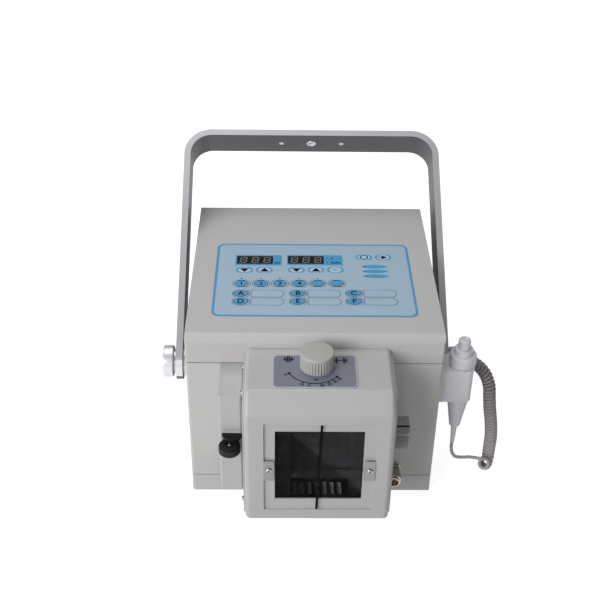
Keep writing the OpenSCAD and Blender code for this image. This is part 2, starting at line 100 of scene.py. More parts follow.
class XrayFinishes(PropertyGroup):
    paint: shade("Case paint", "#c9c8c7", "Powder coat on the tray, the case and the cover")
    head_paint: shade("Collimator paint", "#bebdbd", "Smoother coat on the collimator")
    membrane: shade("Membrane", "#acc5d8", "Polyester face of the control panel")
    blue: shade("Blue print", "#4da3d6", "Border, keys and display fields")
    ink: shade("Dark print", "#101114", "Thin outlines on the membrane")
    slate: shade("Dial plate", "#7b7f8e", "Anodised plate under the field knob")
    knob: shade("Knob plastic", "#b5b4b1", "Moulded field knobs")
    bar: shade("Anodised bar", "#c0c1c6", "Satin anodised handle")
    switch: shade("Switch plastic", "#e6e4ea", "Hand switch and its holder")
    cord: shade("Cord jacket", "#bfbabb", "Soft jacket of the curly cord")


class XrayCordSizes(PropertyGroup):
    diameter: length("Cord diameter", 3.5, "Across the jacket")
    coil: length("Coil diameter", 13.6, "Across the outside of the turns")
    pitch: length("Pitch", 3.72, "From one turn to the next")


class XraySizes(PropertyGroup):
    edge: length("Edge break", 0.7, "Round on the edges of bars and brackets")
    print_step: length("Print step", 0.05, "Height of each printed layer")
    screw: length("Screw head", 6.2, "Across the pan head screws")


class XrayStage(PropertyGroup):
    lens: number("Lens", 62.94, "Focal length on a 36 mm sensor")
    key: number("Key lamp", 38, "Power of the key lamp", unit="POWER")
    sky: number("Room light", 0.17, "Level of the even light")


# ---- materials


def add_node(mat, kind, inputs=None, **settings):
    """Adds a shader node. An input is a value, a node or the (node, output) that feeds it."""
    made = mat.node_tree.nodes.new("ShaderNode" + kind)
    for key, value in settings.items():
        setattr(made, key, value)
    for key, value in (inputs or {}).items():
        if isinstance(value, Node):
            value = (value, 0)
        if isinstance(value, tuple) and isinstance(value[0], Node):
            mat.node_tree.links.new(value[0].outputs[value[1]], made.inputs[key])
        else:
            made.inputs[key].default_value = value
    return made


def blank(name):
    """An empty node material."""
    mat = bpy.data.materials.new(name)
    mat.use_nodes = True
    mat.node_tree.nodes.clear()
    return mat


def dimmed(c, k):
    return [part * k for part in c]


def rgba(c, k=1):
    """An opaque colour from a linear colour or a hex code, dimmed by a factor."""
    return (*dimmed(colour(c) if isinstance(c, str) else c, k), 1)


def place_parts(mat):
    """The place in the piece's own frame, apart as X, Y and Z."""
    where = add_node(mat, "TexCoord")
    return add_node(mat, "SeparateXYZ", {"Vector": (where, "Object")})


def place_node(mat, scale, turn=(0, 0, 0)):
    """The place in the piece's own frame, turned and stretched for a pattern."""
    where = add_node(mat, "TexCoord")
    return add_node(mat, "Mapping", {"Vector": (where, "Object"), "Scale": scale,
        "Rotation": turn})


def grained(name, base, spread, grain, depth, rough, rough_spread=0.06, strength=0.4,
        stretch=(1, 1, 1), **shell):
    """A finish with slow colour drift, a fine surface grain and uneven gloss."""
    mat = blank(name)
    room = place_node(mat, stretch)
    drift = add_node(mat, "TexNoise", {"Vector": room, "Scale": 11, "Detail": 3})
    fine = add_node(mat, "TexNoise", {"Vector": room, "Scale": grain, "Detail": 2})
    tint = add_node(mat, "Mix", {"Factor": drift}, data_type="RGBA")
    # sockets of a colour mix are picked by place, because three kinds share each name
    tint.inputs[6].default_value = rgba(base, 1 - spread)
    tint.inputs[7].default_value = rgba(base, 1 + spread)
    gloss = add_node(mat, "MapRange", {"Value": fine, "To Min": rough - rough_spread,
        "To Max": rough + rough_spread})
    bump = add_node(mat, "Bump", {"Height": fine, "Strength": strength, "Distance": depth})
    shader = add_node(mat, "BsdfPrincipled", {"Base Color": (tint, 2), "Roughness": gloss,
        "Normal": bump, **shell})
    add_node(mat, "OutputMaterial", {"Surface": shader})
    return mat


def make_materials(f):
    """Every finish, by a short key."""
    dull = {"Specular IOR Level": 0.04}
    rows = {
        # powder coat on sheet steel: fine orange peel that breaks up the highlights
        "paint": ("powder_coated_steel", f.paint, 0.015, 900, 6e-5, 0.42),
        "cover": ("powder_coated_cover", dimmed(f.paint, 0.97), 0.02, 900, 6e-5, 0.45),
        # sprayed and flatted coat on the cast collimator: smoother, a little brighter
        "head": ("sprayed_collimator_coat", f.head_paint, 0.012, 500, 3e-5, 0.38, 0.06, 0.25),
        "head_shell": ("collimator_coat_and_lacquer", f.head_paint, 0.012, 500, 3e-5, 0.38,
                       0.06, 0.25),
        # printed polyester: even, with a soft sheen and a very fine texture
        "membrane": ("textured_polyester_membrane", f.membrane, 0.02, 2200, 2e-5, 0.36),
        "blue": ("blue_screen_print", f.blue, 0.02, 2200, 2e-5, 0.34),
        "pale_key": ("pale_key_print", dimmed(f.membrane, 1.18), 0.015, 2200, 2e-5, 0.34),
        "ink": ("dark_screen_print", f.ink, 0.05, 2200, 1e-5, 0.6, dull),
        "line": ("grey_outline_print", "#56636d", 0.03, 2200, 1e-5, 0.4),
        # tinted filter over the displays: near black with a sharp reflection
        "filter": ("smoked_display_filter", "#121214", 0.1, 300, 5e-6, 0.16, 0.02),
        "segment": ("unlit_display_segments", "#827f7d", 0.06, 900, 1e-5, 0.4),
        "lamp": ("unlit_indicator_lens", "#6b4a3a", 0.1, 900, 1e-5, 0.25),
        # bead blasted and dyed aluminium plate, with matt marks and a bright cut edge
        "slate": ("dyed_aluminium_plate", f.slate, 0.04, 1500, 3e-5, 0.5),
        # also the light line along the side knob, a painted highlight
        "rim": ("cut_plate_edge", "#b9bcc6", 0.03, 900, 2e-5, 0.3),
        "dial_ink": ("dial_print", "#0d0e11", 0.05, 900, 1e-5, 0.6,
                     {"Specular IOR Level": 0.2}),
        # injection moulded parts, matt or satin from their moulds
        "knob": ("moulded_knob_plastic", f.knob, 0.012, 1300, 3e-5, 0.48),
        # a darker copy of the knob plastic: partly the side knob's own grey, partly painted shade
        # on the shaded side
        "side_knob": ("grey_knob_plastic", dimmed(f.knob, 0.62), 0.02, 1300, 3e-5, 0.4),
        "switch": ("moulded_switch_plastic", f.switch, 0.012, 700, 2e-5, 0.33),
        "black": ("black_moulded_plastic", "#161617", 0.08, 1500, 4e-5, 0.45,
                  {"Specular IOR Level": 0.25}),
        # soft extruded and moulded rubbers with hardly any gloss, and a dull dark strip that
        # paints the shade in the seams
        "cord": ("extruded_cord_jacket", f.cord, 0.03, 700, 3e-5, 0.5),
        "rubber": ("black_rubber", "#1d1d1e", 0.1, 900, 8e-5, 0.75),
        "gasket": ("dark_seam_gasket", "#55524f", 0.06, 900, 3e-5, 0.7),
        # lacquer that drinks the light behind the window, and plates in its floor slots that paint
        # the shaded table seen through them
        "inside": ("matt_black_lacquer", "#101113", 0.15, 700, 5e-5, 0.7, dull),
        # the slot plates: painted shade of the table under the collimator
        "screen": ("woven_slot_screen", "#c2c4c7", 0.3, 1600, 8e-5, 0.5,
                   {"Metallic": 0.3}),
        "dust": ("dust_specks", "#a9abaf", 0.2, 900, 2e-5, 0.7),
        # satin anodised extrusion: drawing lines along the bar blur its reflections
        "bar": ("satin_anodised_bar", f.bar, 0.03, 420, 3e-5, 0.4, 0.08,
                {"stretch": (0.15, 3, 3), "Metallic": 0.55}),
        # the same bar's broad faces: a darker copy of the bar's finish, as painted shade
        "bar_face": ("anodised_broad_face", dimmed(f.bar, 0.22), 0.05, 420, 3e-5, 0.5, 0.08,
                     {"stretch": (0.15, 3, 3), "Metallic": 0.75}),
        # turned, plated and rolled metal: tool lines and plating spread the highlight
        # the same finish lies on the handle bar's bevels, round ends and hole walls as a painted
        # highlight
        "bright": ("turned_aluminium", "#e6e7ea", 0.05, 700, 3e-5, 0.34, 0.1,
                   {"stretch": (4, 0.3, 0.3), "Metallic": 0.5}),
        "nickel": ("nickel_plated_brass", "#b3ada5", 0.05, 900, 2e-5, 0.2, 0.08,
                   {"Metallic": 1}),
        "clip": ("satin_steel_clip", "#97989a", 0.04, 900, 3e-5, 0.4,
                 {"stretch": (1, 1, 0.1), "Metallic": 0.5}),
    }
    made = {}
    for key, row in rows.items():
        values, named = (row[:-1], row[-1]) if isinstance(row[-1], dict) else (row, {})
        made[key] = grained(*values, **named)
    # painted shade on the upper coils of the cord
    painted_shade_upwards(made["cord"])
    lacquered_inside(made["head_shell"])
    made["mirror"] = mirror_painted_dark()
    made["clear"] = clear_plate()
    return made


def overlaid(mat, share, code):
    """Mixes a second colour over a finish, by a share from 0 to 1."""
    shader = next(n for n in mat.node_tree.nodes if n.type == "BSDF_PRINCIPLED")
    links = mat.node_tree.links
    first = shader.inputs["Base Color"]
    mix = add_node(mat, "Mix", {"Factor": share}, data_type="RGBA")
    links.new(first.links[0].from_socket, mix.inputs[6])
    mix.inputs[7].default_value = rgba(code)
    links.new(mix.outputs[2], first)


def painted_shade_upwards(mat):
    """Darkens the cord jacket towards its upper end: painted shade, where the switch shadows the
    coil.
    """
    share = add_node(mat, "MapRange", {"Value": (place_parts(mat), "Z"), "From Min": 0.04,
        "From Max": 0.12, "To Max": 0.65})
    overlaid(mat, share, "#6e6764")


def lacquered_inside(mat):
    """Turns the coat to black lacquer inside the collimator's walls, by place."""
    lo, hi = node_box("collimator_housing")
    parts = place_parts(mat)
    room = WALL * MM - 0.0001
    limits = [("X", "GREATER_THAN", lo.x * MM + room), ("X", "LESS_THAN", hi.x * MM - room),
        ("Z", "GREATER_THAN", lo.z * MM + room), ("Z", "LESS_THAN", hi.z * MM - room),
        ("Y", "GREATER_THAN", lo.y * MM + room - 0.0004)]
    slope = add_node(mat, "Math", {0: (parts, "Z"), 1: (parts, "Y")}, operation="SUBTRACT")
    mask = add_node(mat, "Math", {0: slope, 1: (hi.z - lo.y - CHAMFER) * MM - 0.0052},
        operation="LESS_THAN")
    for axis, kind, limit in limits:
        test = add_node(mat, "Math", {0: (parts, axis), 1: limit}, operation=kind)
        mask = add_node(mat, "Math", {0: mask, 1: test}, operation="MULTIPLY")
    overlaid(mat, mask, "#08090a")


def mirror_painted_dark():
    """Front silvered mirror, painted near black: a painted reflection of the dark lacquered room
    it faces.
    """
    mat = blank("field_mirror_painted_dark")
    haze = add_node(mat, "TexNoise", {"Vector": place_node(mat, (1, 2, 1)), "Scale": 24,
        "Detail": 3})
    tint = add_node(mat, "ValToRGB", {"Fac": haze})
    # the near black tint is the painted reflection of the dark room
    for stop, code in zip(tint.color_ramp.elements, ("#0a0b0c", "#151618")):
        stop.color = rgba(code)
    gloss = add_node(mat, "MapRange", {"Value": haze, "To Min": 0.3, "To Max": 0.5})
    shader = add_node(mat, "BsdfPrincipled", {"Base Color": tint, "Roughness": gloss,
        "Specular IOR Level": 0.12})
    add_node(mat, "OutputMaterial", {"Surface": shader})
    return mat


def clear_plate():
    """Clear acrylic: nearly all passes through, with wipe marks and a painted reflection that is
    fuller above a sloping line.
    """
    mat = blank("clear_acrylic_plate")
    turned_room = place_node(mat, (1, 1, 3), (0, 0.7, 0))
    wipe = add_node(mat, "TexNoise", {"Vector": turned_room, "Scale": 55, "Detail": 5})
    parts = place_parts(mat)
    # painted reflection: the haze is fuller above and right of a sloping line across the plate
    slope = add_node(mat, "Math", {0: (parts, "X"), 1: 1.12, 2: (parts, "Z")},
        operation="MULTIPLY_ADD")
    painted_reflection_zone = add_node(mat, "MapRange", {"Value": slope, "From Min": 0.1325, "From Max": 0.134,
        "To Min": 0.3, "To Max": 1})
    haze = add_node(mat, "MapRange", {"Value": wipe, "From Min": 0.3, "From Max": 0.75,
        "To Min": 0.015, "To Max": 0.04})
    cover = add_node(mat, "Math", {0: painted_reflection_zone, 1: haze}, operation="MULTIPLY")
    gloss = add_node(mat, "MapRange", {"Value": wipe, "To Min": 0.05, "To Max": 0.2})
    shader = add_node(mat, "BsdfPrincipled", {"Base Color": rgba("#b4b8be"),
        "Roughness": gloss, "Alpha": cover, "Specular IOR Level": 1})
    add_node(mat, "OutputMaterial", {"Surface": shader})
    return mat


def seen_rays(mat, *kinds):
    """What is 1 for the kinds of rays that are named and 0 for the rest."""
    rays = add_node(mat, "LightPath")
    seen = (rays, kinds[0])
    for kind in kinds[1:]:
        seen = add_node(mat, "Math", {0: seen, 1: (rays, kind)}, operation="MAXIMUM")
    return seen


MATERIALS = {}


# ---- shaping tools


def moved(bm, matrix):
    bmesh.ops.transform(bm, matrix=matrix, verts=bm.verts[:])
    return bm


def mesh_of(bm, name="part"):
    """A mesh with the form in it, which uses the form up."""
    mesh = bpy.data.meshes.new(name)
    bm.to_mesh(mesh)
    bm.free()
    return mesh


def placed(name, data):
    """A new object in the scene."""
    obj = bpy.data.objects.new(name, data)
    bpy.context.scene.collection.objects.link(obj)
    return obj


def turned(profile, steps, about=Matrix()):
    """A closed round form from (radius, height) points, about +Z or the given matrix."""
    bm = bmesh.new()
    verts = [bm.verts.new((r, 0, z)) for r, z in profile]
    edges = [bm.edges.new(pair) for pair in zip(verts, verts[1:])]
    bmesh.ops.spin(bm, geom=verts + edges, cent=(0, 0, 0), axis=(0, 0, 1), dvec=(0, 0, 0),
        angle=tau, steps=steps, use_merge=True, use_duplicate=False)
    bmesh.ops.remove_doubles(bm, verts=bm.verts[:], dist=1e-4)
    return moved(bm, about)


def slab(outline, low, high):
    """A plate with the given outline between two heights."""
    bm = bmesh.new()
    face = bm.faces.new([bm.verts.new((x, y, low)) for x, y in outline])
    grown = bmesh.ops.extrude_face_region(bm, geom=[face])["geom"]
    top = [g for g in grown if isinstance(g, bmesh.types.BMVert)]
    bmesh.ops.translate(bm, vec=(0, 0, high - low), verts=top)
    return bm


def hoop(x, y, w, h, r, steps, section):
    """A closed hoop on a rounded rectangle, with a section of (outward, height) points."""
    bm, loops = bmesh.new(), []
    for out, z in section:
        points = round_rect(x, y, w + 2 * out, h + 2 * out, r + out, steps)
        verts = [bm.verts.new((*point, z)) for point in points]
        loops.append([bm.edges.new(pair) for pair in zip(verts, verts[1:] + verts[:1])])
    for a, b in zip(loops, loops[1:] + loops[:1]):
        bmesh.ops.bridge_loops(bm, edges=a + b)
    return bm


def flute(bm, count, cuts, low, high, inside):
    """Cuts flutes into a turned form, between two heights and outside a radius."""
    for v in bm.verts:
        r = hypot(v.co.x, v.co.y)
        if r > inside and low < v.co.z < high:
            step = round(atan2(v.co.y, v.co.x) / tau * count)
            v.co.xy *= 1 - cuts[step % len(cuts)] / r


def bevelled_box(lo, hi, width=0):
    """A box from corner to corner, with broken edges when a width is given."""
    bm = bmesh.new()
    size = [b - a for a, b in zip(lo, hi)]
    middle = [(a + b) / 2 for a, b in zip(lo, hi)]
    bmesh.ops.create_cube(bm, size=1, matrix=Matrix.LocRotScale(middle, None, size))
    if width:
        bmesh.ops.bevel(bm, geom=bm.edges[:], offset=width, segments=1, profile=0.5,
            affect="EDGES", material=-1)
    return bm


def joined(*parts):
    """Several forms as one mesh."""
    whole = bmesh.new()
    for bm in parts:
        mesh = mesh_of(bm)
        whole.from_mesh(mesh)
        bpy.data.meshes.remove(mesh)
    return whole


def finished(bm, name, key, body="unit", replaces=(), smooth=35):
    """Turns a form in millimetres into a piece that rides on a body."""
    bmesh.ops.remove_doubles(bm, verts=bm.verts[:], dist=2e-4)
    bmesh.ops.recalc_face_normals(bm, faces=bm.faces[:])
    moved(bm, Matrix.Scale(MM, 4))
    mesh = mesh_of(bm, name)
    mesh.shade_smooth()
    mesh.set_sharp_from_angle(angle=radians(smooth))
    mesh.materials.append(MATERIALS[key])
    piece = placed(name, mesh)
    piece.modifiers.new("even_normals", "WEIGHTED_NORMAL").keep_sharp = True
    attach(piece, body)
    if replaces:
        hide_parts(*replaces)
    return piece


def softened(node, name, key, width, segments=2, body="unit"):
    """A merged copy of a CAD node with its sharp edges broken, which stands for the node."""
    bm = bmesh.new()
    bm.from_mesh(NODES[node].data)
    moved(bm, Matrix.Scale(1 / MM, 4))
    bmesh.ops.remove_doubles(bm, verts=bm.verts[:], dist=1e-3)
    bmesh.ops.dissolve_limit(bm, angle_limit=radians(0.5), use_dissolve_boundaries=False,
        verts=bm.verts[:], edges=bm.edges[:], delimit={"NORMAL"})
    sharp = [e for e in bm.edges if len(e.link_faces) == 2 and e.calc_face_angle(0) > SHARP_EDGE]
    bmesh.ops.bevel(bm, geom=sharp, offset=width, segments=segments, profile=0.5, affect="EDGES",
        material=-1, clamp_overlap=True)
    return finished(bm, name, key, body, (node,))


def polar(x, y, r, degrees):
    """A point at a distance and an angle from another."""
    a = radians(degrees)
    return x + r * cos(a), y + r * sin(a)


def round_rect(x, y, w, h, r, steps=6):
    """Outline of a rectangle with round corners."""
    return [polar(x + sx * (w / 2 - r), y + sy * (h / 2 - r), r, start + 90 * i / steps)
        for sx, sy, start in ((1, 1, 0), (-1, 1, 90), (-1, -1, 180), (1, -1, 270))
        for i in range(steps + 1)]


def oval(x, y, w, h, steps=28, power=1):
    """Outline of an ellipse; a power above 1 draws its ends to points, as on a lens."""
    points = []
    for i in range(steps):
        a = tau * i / steps
        s = sin(a)
        points.append((x + w / 2 * cos(a), y + h / 2 * copysign(abs(s) ** power, s)))
    return points


def box_outline(x, y, w, h):
    return [(x - w / 2, y - h / 2), (x + w / 2, y - h / 2), (x + w / 2, y + h / 2),
        (x - w / 2, y + h / 2)]


def arc_band(x, y, r, start, end, width):
    """Outline of a thin band along an arc, in degrees."""
    steps = 28
    angles = [start + (end - start) * i / steps for i in range(steps + 1)]
    return ([polar(x, y, r + width / 2, a) for a in angles]
        + [polar(x, y, r - width / 2, a) for a in reversed(angles)])


def bar_between(a, b, width):
    """Outline of a straight stroke from a to b."""
    d = Vector(b) - Vector(a)
    side = Vector((-d.y, d.x)).normalized() * width / 2
    return [tuple(Vector(p) + s * side) for p, s in ((a, -1), (b, -1), (b, 1), (a, 1))]


def lettering(text, x, y, height, low, high, turn=0, weight=0):
    """A number or letter as a raised print."""
    curve = bpy.data.curves.new("print", "FONT")
    curve.body = text
    curve.size = height * 1.4
    curve.align_x = curve.align_y = "CENTER"
    curve.resolution_u = 3
    curve.offset = weight
    curve.extrude = (high - low) / 2
    holder = placed("print", curve)
    graph = bpy.context.evaluated_depsgraph_get()
    mesh = bpy.data.meshes.new_from_object(holder.evaluated_get(graph))
    bm = bmesh.new()
    bm.from_mesh(mesh)
    bpy.data.objects.remove(holder)
    bpy.data.curves.remove(curve)
    bpy.data.meshes.remove(mesh)
    return moved(bm, Matrix.Translation((x, y, (low + high) / 2)) @ Matrix.Rotation(turn, 4, "Z"))


def along(axis, origin):
    """A matrix that stands +Z along an axis, at a point."""
    turn = Vector((0, 0, 1)).rotation_difference(Vector(axis))
    return Matrix.LocRotScale(origin, turn, None)


def smooth_route(points, step):
    """Points about a step apart on one smooth curve through the route."""
    p = [Vector(q) for q in points]
    p = [2 * p[0] - p[1]] + p + [2 * p[-1] - p[-2]]
    out = []
    for i in range(1, len(p) - 2):
        count = max(2, round((p[i + 1] - p[i]).length / step))
        for k in range(count):
            t = k / count
            out.append(0.5 * (2 * p[i] + (p[i + 1] - p[i - 1]) * t
                + (2 * p[i - 1] - 5 * p[i] + 4 * p[i + 1] - p[i + 2]) * t * t
                + (3 * p[i] - p[i - 1] - 3 * p[i + 1] + p[i + 2]) * t ** 3))
    return out + [p[-2]]


# ---- operators


class XRAY_OT_stage(Operator):
    """Camera, floor, room light and lamps"""
    bl_idname = "xray.stage"
    bl_label = "Camera and stage"

    def execute(self, context):
        s = context.scene.xray_stage
        lens = bpy.data.cameras.new("camera")
        lens.sensor_width = 36
        lens.lens = s.lens
        lens.clip_start, lens.clip_end = 0.01, 60
        camera = placed("camera", lens)
        # yaw, the tilt down from straight ahead, and roll, as solved from the photograph
        turn = Matrix()
        for angle, axis in ((-1.10, "Z"), (90 - 34.78, "X"), (0.96, "Z")):
            turn @= Matrix.Rotation(radians(angle), 4, axis)
        camera.matrix_world = Matrix.Translation((-0.03065, -0.92196, 0.8055)) @ turn
        context.scene.camera = camera
        context.scene.view_settings.view_transform = "Standard"
        self.floor()
        self.room(context, s)
        self.lamp("key_lamp", (-1.45, -1.6, 1.05), s.key, 1.5)
        self.lamp("top_lamp", (-0.3, 0.7, 2.1), s.key * 0.45, 1.5)
        self.lamp("fill_lamp", (0.2, -2.2, 0.8), s.key * 0.1, 0.8)
        return {"FINISHED"}

    def floor(self):
        """A table that looks white and lights the machine less than it shows."""
        bm = bmesh.new()
        bmesh.ops.create_grid(bm, x_segments=8, y_segments=8, size=14)
        mesh = mesh_of(bm, "floor")
        mat = blank("white_studio_table")
        seen = seen_rays(mat, "Is Camera Ray", "Is Glossy Ray", "Is Transmission Ray")
        shown, grey = 0.88, 0.42
        level = add_node(mat, "Math", {0: seen, 1: shown}, operation="MULTIPLY")
        card = add_node(mat, "BsdfDiffuse", {"Color": (grey, grey, grey, 1)})
        glow = add_node(mat, "Emission", {"Strength": level})
        both = add_node(mat, "AddShader", {0: card, 1: glow})
        add_node(mat, "OutputMaterial", {"Surface": both})
        mesh.materials.append(mat)
        floor = placed("floor", mesh)

    def room(self, context, s):
        world = bpy.data.worlds.new("room")
        world.use_nodes = True
        world.node_tree.nodes.clear()
        seen = seen_rays(world, "Is Camera Ray", "Is Transmission Ray")
        level = add_node(world, "MapRange", {"Value": seen, "To Min": s.sky, "To Max": 1})
        sky = add_node(world, "Background", {"Color": (1, 1, 1, 1), "Strength": level})
        add_node(world, "OutputWorld", {"Surface": sky})
        context.scene.world = world

    def lamp(self, name, place, power, size):
        light = bpy.data.lights.new(name, "AREA")
        light.energy = power
        light.size = size
        aim = Vector((0, -0.08, 0.12)) - Vector(place)
        placed(name, light).matrix_world = Matrix.LocRotScale(place,
            aim.to_track_quat("-Z", "Y"), None)


class XRAY_OT_cord(Operator):
    """Curly cord from the hand switch to the gland, as one spline"""
    bl_idname = "xray.cord"
    bl_label = "Curly cord"

    lead = [(148.4, -98, 54), (148.4, -98, 44), (150, -98, 36.5), (154, -98.2, 31),
        (161, -98.5, 30.2), (168, -100, 32), (173.6, -104.5, 35.2), (177.6, -108.8, 38.2)]
    axis = [(182.2, -110, 32.2), (186, -103.5, 26), (189, -97, 27), (190, -93, 37),
        (190.2, -92, 54), (188.4, -91, 72), (185, -90, 92), (183.2, -88, 107), (182, -86, 118),
        (178, -82.5, 129), (171, -79, 137.5), (162, -77, 143), (156, -77, 145)]
    tail = [(150, -77, 146.8), (144, -77, 147.8), (138, -77, 148), (128, -77, 148)]

    def turns(self, sizes):
        """The helix about the coil's own bent axis."""
        line = smooth_route(self.axis, 0.25)
        run = [0]
        for a, b in zip(line, line[1:]):
            run.append(run[-1] + (b - a).length)
        total = run[-1]
        count = int(total / (sizes.pitch / MM))
        radius = (sizes.coil - sizes.diameter) / 2 / MM
        points, k, up = [], -1, Vector((0, 0, 1))
        per_turn, closing = 16, 10
        steps = count * per_turn
        for i in range(steps + 1):
            s = total * i / steps
            while k < 0 or (k < len(line) - 2 and run[k + 1] < s):
                k += 1
                heading = (line[k + 1] - line[k]).normalized()
                up = (up - up.dot(heading) * heading).normalized()
            share = (s - run[k]) / max(run[k + 1] - run[k], 1e-9)
            middle = line[k].lerp(line[k + 1], share)
            side = heading.cross(up)
            a = tau * i / per_turn
            close = min(1, (steps - i) / closing)
            r = radius * close * (2 - close)
            points.append(middle + r * (cos(a) * up + sin(a) * side))
        return points

    def execute(self, context):
        sizes = context.scene.xray_cord
        coil = self.turns(sizes)
        lead = smooth_route(self.lead + [tuple(coil[0])], 1.6)
        tail = smooth_route([tuple(coil[-1])] + self.tail, 1.6)
        points = lead[:-1] + coil + tail[1:]
        curve = bpy.data.curves.new("curly_cord", "CURVE")
        curve.dimensions = "3D"
        spline = curve.splines.new("POLY")
        spline.points.add(len(points) - 1)
        for target, p in zip(spline.points, points):
            target.co = (*(p * MM), 1)
        spline.use_smooth = True
        curve.bevel_depth = sizes.diameter / 2
        curve.bevel_resolution = 3
        curve.use_fill_caps = True
        curve.materials.append(MATERIALS["cord"])
        cord = placed("curly_cord", curve)
        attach(cord, "unit")
        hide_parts("cord_lead", "cord_coil", "cord_tail")
        return {"FINISHED"}


class XRAY_OT_case(Operator):
    """Finishes on the case, the collimator and the other carried-over solids"""
    bl_idname = "xray.case"
    bl_label = "Case and collimator"

    # nodes that no piece replaces, and that aren't painted as the case
    finishes = {"control_panel": "blue", "rubber_feet": "rubber", "cord_gland": "rubber",
        "tube_block": "inside", "shutter_blades": "inside", "light_mirror": "mirror",
        "mains_inlet": "black", "mains_switch": "black", "fuse_holders": "black",
        "strain_relief": "switch"}

    def execute(self, context):
        for node, obj in NODES.items():
            obj.data.materials.clear()
            obj.data.materials.append(MATERIALS[self.finishes.get(node, "paint")])
        edge = context.scene.xray_sizes.edge / MM
        softened("side_block", "side_block_painted", "head", edge)
        block = bpy.data.objects["side_block_painted"].data
        left, wider = min(v.co.x for v in block.vertices), 2.2 * MM
        for v in block.vertices:
            if v.co.x < left + 2 * MM:
                v.co.x -= wider
        softened("top_cover", "top_cover_painted", "cover", 1.1)
        softened("collimator_side_plates", "side_plates_painted", "head", 0.35,
            1)
        softened("dial_plate", "dial_plate_cut", "slate", 0.3, 1)
        softened("collimator_housing", "collimator_coated", "head_shell", 0.22,
            1)
        # folded hem that closes the groove along the rear of the cover
        hi = node_box("top_cover")[1]
        half, rear = hi.x + 0.02, hi.y + 0.02
        outline = [(-half, rear - 9), (half, rear - 9)]
        for side, start in ((1, 0), (-1, 90)):
            outline += [polar(side * (half - 3), rear - 3, 3, start + 15 * i) for i in range(7)]
        finished(slab(outline, hi.z - 16, hi.z - 4), "cover_rear_hem", "cover")
        return {"FINISHED"}


